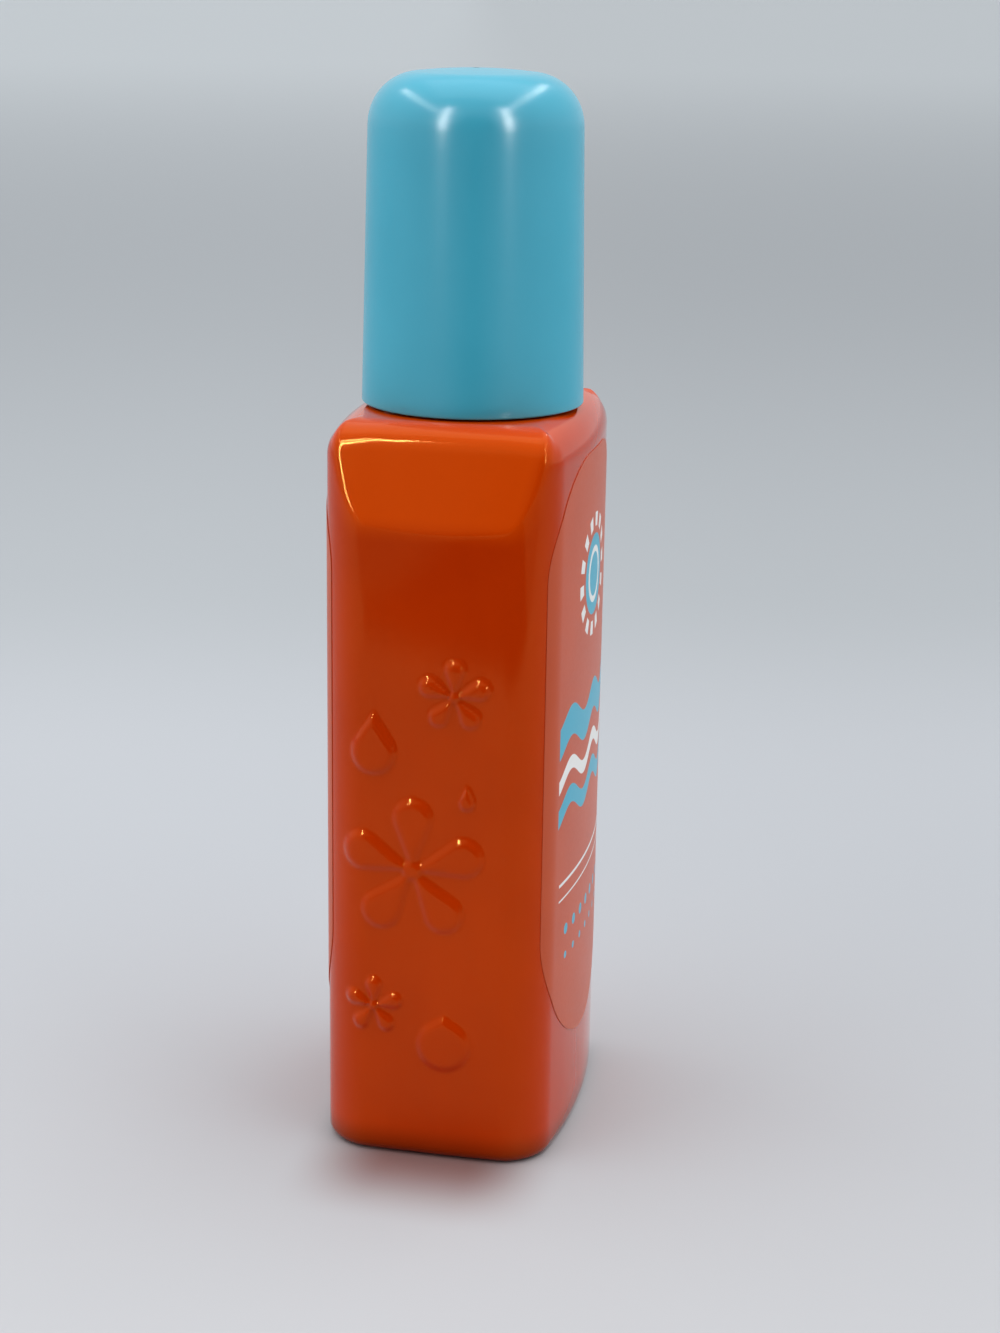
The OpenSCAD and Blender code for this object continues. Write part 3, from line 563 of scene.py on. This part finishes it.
def nozzle_shape():
    """Insert with the spray hole, made upright and turned to the front."""
    outline = [(0.2, 2.7), (0.2, 3.1), (0.95, 3.55), (1.15, NOZZLE_L), (2.3, NOZZLE_L), (2.52, 3.5),
               (NOZZLE_R, 3.3), (NOZZLE_R, 0.2), (2.4, 0.0), (1.0, 0.0), (1.0, 2.7), (0.2, 2.7)]
    return to_front(turned([(r, h + NOZZLE_SEAT_Y) for r, h in outline], 64, closed=True))


def spring_shape():
    """Compression spring with a closed turn at each end."""
    closed = 2 * WIRE_R + 0.15
    length = SPRING_L - 2 * WIRE_R
    sections = []
    for i in range(COIL_TURNS * 40 + 1):
        turn = i / 40
        if turn < 1:
            rise = closed * turn
        elif turn > COIL_TURNS - 1:
            rise = length - closed * (COIL_TURNS - turn)
        else:
            rise = closed + (length - 2 * closed) * (turn - 1) / (COIL_TURNS - 2)
        c, s = math.cos(2 * math.pi * turn), math.sin(2 * math.pi * turn)
        z = SPRING_Z + WIRE_R + rise
        around = [2 * math.pi * j / 12 for j in range(12)]
        sections.append([((COIL_R + WIRE_R * math.cos(a)) * c, (COIL_R + WIRE_R * math.cos(a)) * s,
                          z + WIRE_R * math.sin(a)) for a in around])
    return swept(sections)


# ---- Finishes

def level(value):
    """A colour given as it looks on a screen, 0 to 255, in the shader's linear scale."""
    v = value / 255
    return v / 12.92 if v <= 0.04045 else ((v + 0.055) / 1.055) ** 2.4


def paint(r, g, b):
    """A colour for a shader, from its red, green and blue on a screen."""
    return (level(r), level(g), level(b), 1)


class Value:
    """A value in a finish's nodes; arithmetic on it adds Math nodes."""

    def __init__(self, finish, socket):
        self.finish, self.socket = finish, socket

    def math(self, operation, *terms):
        return self.finish.node("ShaderNodeMath", {"operation": operation}, *terms)

    def __add__(self, other):
        return self.math("ADD", self, other)

    def __radd__(self, other):
        return self.math("ADD", other, self)

    def __sub__(self, other):
        return self.math("SUBTRACT", self, other)

    def __rsub__(self, other):
        return self.math("SUBTRACT", other, self)

    def __mul__(self, other):
        return self.math("MULTIPLY", self, other)

    def __rmul__(self, other):
        return self.math("MULTIPLY", other, self)

    def __abs__(self):
        return self.math("ABSOLUTE", self)

    def sin(self):
        return self.math("SINE", self)

    def root(self):
        return self.math("SQRT", self)

    def soft(self, low, high):
        """0 below low, 1 above high and a smooth rise between."""
        return self.finish.node("ShaderNodeMapRange", {"interpolation_type": "SMOOTHSTEP"},
                                self, low, high, 0.0, 1.0)


class Finish:
    """A material with one Principled BSDF."""

    def __init__(self, name, **constants):
        self.material = bpy.data.materials.new(name)
        self.material.use_nodes = True
        self.tree = self.material.node_tree
        self.shader = self.tree.nodes["Principled BSDF"]
        for socket, value in constants.items():
            self.shader.inputs[socket.replace("_", " ")].default_value = value

    def node(self, kind, settings, *inputs, out=0):
        made = self.tree.nodes.new(kind)
        for key, value in settings.items():
            setattr(made, key, value)
        for index, value in enumerate(inputs):
            if value is not None:
                self.feed(made.inputs[index], value)
        return Value(self, made.outputs[out])

    def feed(self, socket, value):
        if isinstance(value, Value):
            self.tree.links.new(value.socket, socket)
        else:
            socket.default_value = value

    def set(self, name, value):
        self.feed(self.shader.inputs[name], value)

    def place(self):
        return self.node("ShaderNodeTexCoord", {}, out=3)

    def axes(self):
        """The place on the object as three values in millimetres."""
        split = self.node("ShaderNodeSeparateXYZ", {}, self.place())
        outs = split.socket.node.outputs
        return [Value(self, outs[i]) * 1000.0 for i in range(3)]

    def noise(self, scale, detail=2.0, rough=0.5, stretch=None):
        where = self.place()
        if stretch:
            where = self.node("ShaderNodeVectorMath", {"operation": "MULTIPLY"}, where, stretch)
        return self.node("ShaderNodeTexNoise", {}, where, None, scale, detail, rough)

    def mix(self, mask, first, second):
        return self.node("ShaderNodeMix", {"data_type": "RGBA"}, mask, None, None, None, None, None,
                         first, second, out=2)

    def bump(self, height, distance, strength=1.0, normal=None):
        return self.node("ShaderNodeBump", {}, strength, distance, None, height, normal)


def orange_plastic():
    """Blown plastic with faint clouds and streaks, with painted light on its sloping shoulders and
    painted shade at its foot.
    """
    f = Finish("BlownOrange", IOR=1.5, Specular_IOR_Level=0.6, Specular_Tint=(1.0, 0.5, 0.12, 1))
    cloud = f.noise(38.0, 3.0, 0.55)
    streak = f.noise(30.0, 2.0, 0.5, (3.0, 3.0, 0.5))
    tone = f.mix(cloud.soft(0.35, 0.65), paint(195, 49, 0), paint(201, 53, 0))
    tone = f.mix(streak.soft(0.45, 0.75) * 0.35, tone, paint(186, 45, 0))
    # Painted light: the sloping shoulders are painted brighter, as if more light falls on them from
    # above
    x, y, z = f.axes()
    slope = z.soft(98.5, 103.0) * (1 - (abs(y) - z * 0.25).soft(-14.5, -10.0))
    tone = f.mix(slope, tone, paint(222, 70, 0))
    # Painted shade: the foot is painted darker where it meets the floor
    tone = f.mix((1 - z.soft(0.3, 5.5)) * 0.7, tone, paint(98, 26, 0))
    f.set("Base Color", tone)
    fine = f.noise(900.0, 2.0, 0.6)
    f.set("Roughness", fine * 0.03 + 0.045)
    wave = f.noise(70.0, 1.0, 0.4, (1.0, 1.0, 0.45))
    f.set("Normal", f.bump(fine, 0.00001, 0.4, f.bump(wave, 0.0004, 0.35)))
    return f.material


def aqua_plastic():
    """Moulded plastic with faint clouds of colour and a satin gloss."""
    f = Finish("MouldedAqua", IOR=1.5)
    cloud = f.noise(45.0, 3.0, 0.5)
    f.set("Base Color", f.mix(cloud.soft(0.3, 0.7), paint(66, 176, 202), paint(70, 180, 206)))
    fine = f.noise(1100.0, 2.0, 0.6)
    f.set("Roughness", fine * 0.04 + 0.21)
    wave = f.noise(55.0, 1.0, 0.4, (1.0, 1.0, 0.5))
    f.set("Normal", f.bump(wave, 0.0002, 0.2))
    return f.material


def label_print(name, layout):
    """Satin film with a generic print of a sun, waves, rules and dots."""
    f = Finish(name, IOR=1.46, Specular_IOR_Level=0.35)
    x, y, z = f.axes()
    cloud = f.noise(60.0, 2.0, 0.5)
    tone = f.mix(cloud.soft(0.3, 0.7), paint(199, 81, 40), paint(204, 85, 44))
    aqua, white = paint(70, 178, 205), paint(244, 244, 240)

    def over(tone, mask, colour):
        return f.mix(mask, tone, colour)

    def band(edge_low, edge_high):
        return (z - edge_low).soft(-0.08, 0.08) * (edge_high - z).soft(-0.08, 0.08)

    sun_x, sun_z = layout["sun"]
    dx, dz = x - sun_x, z - sun_z
    far = (dx * dx + dz * dz).root()
    turn = f.node("ShaderNodeMath", {"operation": "ARCTAN2"}, dz, dx)
    rays = (turn * 14.0).sin().soft(-0.1, 0.1) * far.soft(7.4, 7.6) * (1 - far.soft(9.6, 9.8))
    tone = over(tone, rays, white)
    tone = over(tone, 1 - far.soft(6.3, 6.45), aqua)
    tone = over(tone, 1 - far.soft(4.4, 4.55), white)
    tone = over(tone, 1 - far.soft(3.4, 3.55), aqua)
    for base, height, wave, shift, colour in layout["waves"]:
        swell = ((x * (2 * math.pi / wave)) + shift).sin() * 1.5 + base
        ends = (x + 18.0).soft(-0.05, 0.05) * (18.0 - x).soft(-0.05, 0.05)
        tone = over(tone, band(swell, swell + height) * ends, aqua if colour == "aqua" else white)
    for low, thick in layout["rules"]:
        ends = (x + 17.0).soft(-0.05, 0.05) * (17.0 - x).soft(-0.05, 0.05)
        tone = over(tone, band(low, low + thick) * ends, white)
    for low, pitch, radius in layout["dots"]:
        across = f.node("ShaderNodeMath", {"operation": "PINGPONG"}, x, pitch / 2)
        up = z - low
        mask = 1 - (across * across + up * up).root().soft(radius - 0.07, radius + 0.07)
        inside = 1 - abs(x).soft(15.4, 15.6)
        tone = over(tone, mask * inside, aqua)
    f.set("Base Color", tone)
    fine = f.noise(1500.0, 2.0, 0.5)
    f.set("Roughness", fine * 0.08 + 0.3)
    f.set("Normal", f.bump(fine, 0.00001, 0.3))
    return f.material


FRONT_LAYOUT = {
    "sun": (0.0, 90.0),
    "waves": [(66.0, 5.0, 15.0, 0.4, "aqua"), (60.5, 2.2, 15.0, 0.4, "white"),
              (55.0, 3.0, 15.0, 0.4, "aqua")],
    "rules": [(44.0, 0.5), (41.5, 0.3)],
    "dots": [(36.0, 4.4, 0.9), (31.6, 4.4, 0.6)],
}
BACK_LAYOUT = {
    "sun": (0.0, 34.0),
    "waves": [(96.0, 3.2, 15.0, 0.4, "aqua"), (92.0, 1.4, 15.0, 0.4, "white")],
    "rules": [(84.0, 0.4), (80.0, 0.4), (76.0, 0.4), (72.0, 0.4), (68.0, 0.4), (64.0, 0.4)],
    "dots": [(56.0, 4.4, 0.8)],
}


def plain_finish(name, first, second, roughness, **constants):
    """A moulded or drawn finish with slight clouds of colour and fine texture."""
    f = Finish(name, **constants)
    cloud = f.noise(220.0, 3.0, 0.5)
    f.set("Base Color", f.mix(cloud.soft(0.35, 0.65), first, second))
    fine = f.noise(1600.0, 2.0, 0.6)
    f.set("Roughness", fine * 0.08 + roughness)
    f.set("Normal", f.bump(fine, 0.00001, 0.3))
    return f.material


ORANGE = orange_plastic()
AQUA = aqua_plastic()
FRONT_PRINT = label_print("FrontFilm", FRONT_LAYOUT)
BACK_PRINT = label_print("BackFilm", BACK_LAYOUT)
WHITE = plain_finish("PumpWhite", paint(238, 238, 236), paint(243, 243, 241), 0.22, IOR=1.5)
GASKET = plain_finish("GasketFoam", paint(214, 217, 217), paint(222, 224, 224), 0.6, IOR=1.45)
MILKY = plain_finish("MilkyTube", paint(216, 219, 222), paint(226, 228, 230), 0.3, IOR=1.5)
WIRE = plain_finish("SpringWire", paint(176, 178, 180), paint(190, 191, 193), 0.22, Metallic=1.0)
POLISHED = plain_finish("BallSteel", paint(200, 202, 204), paint(208, 209, 211), 0.08, Metallic=1.0)

for node, finish in {"neck_gasket": GASKET, "pump_housing": MILKY, "stem_seal": GASKET,
                     "pump_stem": WHITE, "piston_seal": MILKY, "spring_seat": MILKY,
                     "inlet_ball": POLISHED, "dip_tube": MILKY}.items():
    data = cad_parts[node].data
    data.materials.clear()
    data.materials.append(finish)


# ---- Pieces

bottle = bottle_shape()
ridge = helix_ridge(NECK_R - 0.3, THREAD_R, 0.95, 0.4, THREAD_Z, THREAD_TURNS)
bottle = smooth(tidy_up(joined([bottle, ridge])), 50)
place(bottle, "Bottle", "bottle", "bottle", ORANGE, "bottle_body")
place(label_film(-1), "FrontLabel", "bottle", "label", FRONT_PRINT, "front_label")
place(label_film(1), "BackLabel", "bottle", "label", BACK_PRINT, "back_label")

cap = joined([cap_shape()] + [cap_rib(2 * math.pi * (i + 0.5) / RIBS) for i in range(RIBS)])
place(smooth(cap, 40), "Overcap", "cap", "cap", AQUA, "overcap")
place(smooth(collar_shape(), 40), "ScrewCollar", "collar", "pump", WHITE, "screw_collar")
place(smooth(guide_shape(), 40), "StemGuide", "pump", "pump", WHITE, "stem_guide")
place(smooth(head_shape(), 32), "FingerHead", "head", "pump", WHITE, "actuator_button")
place(smooth(nozzle_shape(), 32), "NozzleInsert", "head", "pump", WHITE, "nozzle_insert")
spring = place(smooth(spring_shape(), 50), "ReturnSpring", "pump", "spring", WIRE, "return_spring")
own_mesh(spring)


# ---- Stage, light and camera

VIEW_FROM = Vector((-0.36011, -0.07959, 0.18196))


def stage_colour():
    """Pale floor that turns a little greyer past a line behind the bottle, with painted shadow and
    painted shade on it.
    """
    f = Finish("StagePale", Roughness=0.6, IOR=1.2)
    back = Vector((-VIEW_FROM.x, -VIEW_FROM.y, 0)).normalized()
    depth = f.node("ShaderNodeVectorMath", {"operation": "DOT_PRODUCT"}, f.place(), back, out=1)
    tone = f.mix(depth.soft(-0.12, 0.12), paint(199, 200, 202), paint(188, 191, 195))
    tone = f.mix(depth.soft(0.16, 0.34), tone, paint(178, 182, 185))
    tone = f.mix(depth.soft(0.4, 4.0), tone, paint(212, 217, 219))
    # Painted shadow, tinted orange, on the floor along the bottle's open side
    x, y, z = f.axes()
    painted_shadow = 1 - (x * -1 - HALF_W).soft(1.0, 22.0)
    painted_shadow = painted_shadow * (1 - x.soft(-10.0, 0.0)) * (1 - abs(y).soft(6.0, 22.0))
    tone = f.mix(painted_shadow * 0.85, tone, paint(128, 80, 72))
    # Painted shade: the floor darkens slightly towards one side, and grey and dark patches on the
    # camera's side stand in for the tent's dark open front, behind the camera's side of the bottle
    left = Vector((0, 0, 1)).cross(back)
    aside = f.node("ShaderNodeVectorMath", {"operation": "DOT_PRODUCT"}, f.place(), left, out=1)
    tone = f.mix((1 - aside.soft(-0.12, 0.12)) * 0.08, tone, paint(0, 0, 0))
    aside = abs(aside)
    front = 1 - depth.soft(-0.31, -0.26)
    tone = f.mix(front * (1 - aside.soft(0.36, 0.44)), tone, paint(150, 152, 156))
    f.set("Base Color", f.mix(front * (1 - aside.soft(0.17, 0.21)), tone, paint(40, 40, 42)))
    return f.material


def add_floor():
    """A round floor so wide that it fills the whole view."""
    bpy.ops.mesh.primitive_circle_add(vertices=64, radius=14, fill_type="NGON")
    floor = active()
    floor.name = "StageFloor"
    floor.data.materials.append(stage_colour())


def add_lamp(name, place_at, size, power, aim=(0, 0, 0.08)):
    """A soft rectangular lamp that faces the bottle."""
    bpy.ops.object.light_add(type="AREA", location=place_at)
    lamp = active()
    lamp.name = name
    lamp.data.shape = "RECTANGLE"
    lamp.data.size, lamp.data.size_y = size
    lamp.data.energy = power
    way = Vector(aim) - Vector(place_at)
    lamp.rotation_euler = way.to_track_quat("-Z", "Y").to_euler()
    return lamp


def add_led_strip(name, start, end, count, size, strength, turn=(0, 0, 0), lights=True):
    """Two rows of small square lamps; those that don't light are only seen reflected."""
    start, end = Vector(start), Vector(end)
    way = (end - start).normalized()
    across = Vector((0, 0, 1)) if abs(way.z) < 0.9 else Vector(start).normalized()
    aside = way.cross(across).normalized()
    squares = []
    for i in range(count):
        for row in (-1, 1):
            middle = start.lerp(end, i / (count - 1)) + aside * row * size * 1.3
            bpy.ops.mesh.primitive_plane_add(size=size, location=middle, rotation=turn)
            squares.append(active())
    strip = joined(squares)
    bpy.ops.object.transform_apply(location=True, rotation=True, scale=True)
    strip.name = name
    glow = Finish(name + "Glow")
    glow.set("Base Color", (0, 0, 0, 1))
    glow.set("Emission Color", (1, 1, 1, 1))
    glow.set("Emission Strength", strength)
    strip.data.materials.append(glow.material)
    strip.visible_camera = False
    strip.visible_shadow = False
    strip.visible_diffuse = lights


def add_camera():
    """The camera, fitted to the outlines in the photo."""
    azimuth, elevation, roll = math.radians(-78.29), math.radians(16.385), math.radians(0.918)
    back = Vector((math.sin(azimuth) * math.cos(elevation), -math.cos(azimuth) * math.cos(elevation),
                   math.sin(elevation)))
    right = (-back).cross(Vector((0, 0, 1))).normalized()
    up = right.cross(-back)
    across = right * math.cos(roll) + up * math.sin(roll)
    upward = -right * math.sin(roll) + up * math.cos(roll)
    bpy.ops.object.camera_add(location=(0, 0, 0))
    camera = active()
    turn = Matrix((across, upward, back)).transposed().to_4x4()
    camera.matrix_world = Matrix.Translation(VIEW_FROM) @ turn
    camera.data.sensor_width = 36
    camera.data.lens = 65.5
    camera.data.clip_start = 0.01
    bpy.context.scene.camera = camera


def set_world():
    """A white tent: bright above and at the sides, dimmer on its open front side."""
    world = bpy.data.worlds.new("StudioAir")
    bpy.context.scene.world = world
    world.use_nodes = True
    tree = world.node_tree
    where = tree.nodes.new("ShaderNodeTexCoord")
    facing = tree.nodes.new("ShaderNodeVectorMath")
    facing.operation = "DOT_PRODUCT"
    facing.inputs[1].default_value = Vector((VIEW_FROM.x, VIEW_FROM.y, 0.02)).normalized()
    tree.links.new(where.outputs["Generated"], facing.inputs[0])
    half = tree.nodes.new("ShaderNodeMapRange")
    half.inputs["From Min"].default_value = -1
    tree.links.new(facing.outputs["Value"], half.inputs["Value"])
    tone = tree.nodes.new("ShaderNodeValToRGB")
    ramp = tone.color_ramp
    # Brightness from behind the bottle, at 0, to behind the camera, at 1
    stops = [(0.0, 0.62), (0.3, 0.78), (0.5, 0.98), (0.65, 0.92), (0.85, 0.66), (0.92, 0.6),
             (0.96, 0.05)]
    while len(ramp.elements) < len(stops):
        ramp.elements.new(0.5)
    for element, (at, light) in zip(ramp.elements, stops):
        element.position = at
        element.color = (0.94 * light, 0.965 * light, light, 1)
    tree.links.new(half.outputs["Result"], tone.inputs["Fac"])
    background = tree.nodes["Background"]
    tree.links.new(tone.outputs["Color"], background.inputs["Color"])
    background.inputs["Strength"].default_value = 1.1


add_floor()
set_world()
add_camera()
# Long rows over the bottle light it; the upright rows in front only show as highlights
ROOF_LAMPS = {"count": 26, "size": 0.012, "strength": 60}
FRONT_LAMPS = {"count": 19, "size": 0.011, "strength": 120, "lights": False}
add_led_strip("StripLeft", (-0.583, 0.381, 0.62), (0.266, 0.487, 0.62), **ROOF_LAMPS)
add_led_strip("StripRight", (-0.363, -0.442, 0.62), (0.541, -0.2, 0.62), **ROOF_LAMPS)
add_led_strip("FrontLeft", (-0.417, 0.174, 0.19), (-0.417, 0.174, 0.6),
              turn=(math.radians(90), 0, math.radians(67)), **FRONT_LAMPS)
add_led_strip("FrontRight", (-0.305, -0.334, 0.19), (-0.305, -0.334, 0.6),
              turn=(math.radians(90), 0, math.radians(138)), **FRONT_LAMPS)
add_lamp("SoftTop", (0.1, 0, 0.8), (0.7, 0.7), 1.1)

bpy.context.scene.view_settings.view_transform = "Standard"
